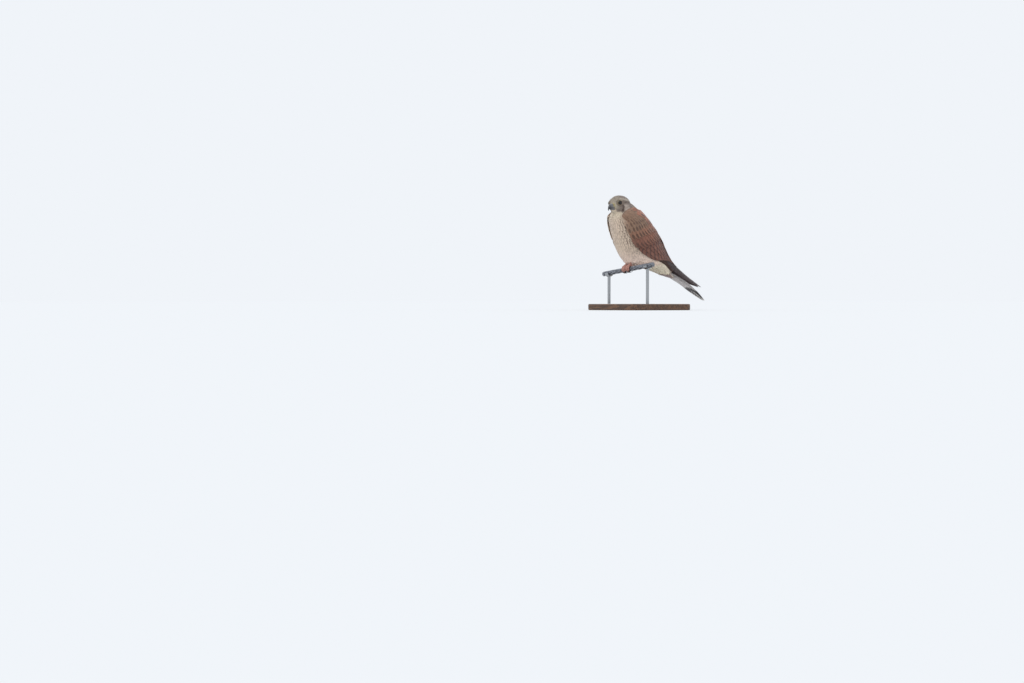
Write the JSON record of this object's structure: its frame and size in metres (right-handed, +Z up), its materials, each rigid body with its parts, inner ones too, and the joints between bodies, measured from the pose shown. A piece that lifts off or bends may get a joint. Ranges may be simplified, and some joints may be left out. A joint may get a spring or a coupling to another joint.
{
  "type": "common kestrel",
  "caption": "Life-size still model of a common kestrel perched on a short length of stranded wire, on a plain flat stand with two rods",
  "frame": {"origin": "middle of the flat underside of the stand's base, on the floor", "axes": "+X to the bird's left, -Y the way the bird faces, +Z up"},
  "size_m": [0.1502, 0.2542, 0.2226],
  "materials": {
    "head_plumage": "soft grey-brown feathers",
    "pale_plumage": "soft buff feathers with dark streaks and spots",
    "wing_plumage": "rufous brown feathers with dark bars, dark flight feathers",
    "tail_plumage": "grey feathers with a dark band near the tip",
    "eye": "dark, glossy and wet",
    "bill": "smooth horn, dark at the tip, yellow at the root",
    "foot_skin": "scaly orange-yellow skin",
    "claw": "dark glossy horn",
    "wire": "weathered dull grey strands",
    "stand_wood": "satin dark wood",
    "stand_steel": "brushed"
  },
  "bodies": {
    "root": {"head": "head_plumage", "neck": "pale_plumage", "torso": "pale_plumage", "bill_upper": "bill", "bill_lower": "bill", "eye_left": "eye", "eye_right": "eye", "wing_left": "wing_plumage", "wing_right": "wing_plumage", "tail": "tail_plumage", "thigh_left": "pale_plumage", "thigh_right": "pale_plumage", "shank_left": "foot_skin", "shank_right": "foot_skin", "foot_left": "foot_skin", "foot_right": "foot_skin", "claw_left_1": "claw", "claw_left_2": "claw", "claw_left_3": "claw", "claw_left_hind": "claw", "claw_right_1": "claw", "claw_right_2": "claw", "claw_right_3": "claw", "claw_right_hind": "claw", "perch_wire": "wire", "stand_base": "stand_wood", "stand_rod_left": "stand_steel", "stand_rod_right": "stand_steel"}
  },
  "joints": []
}
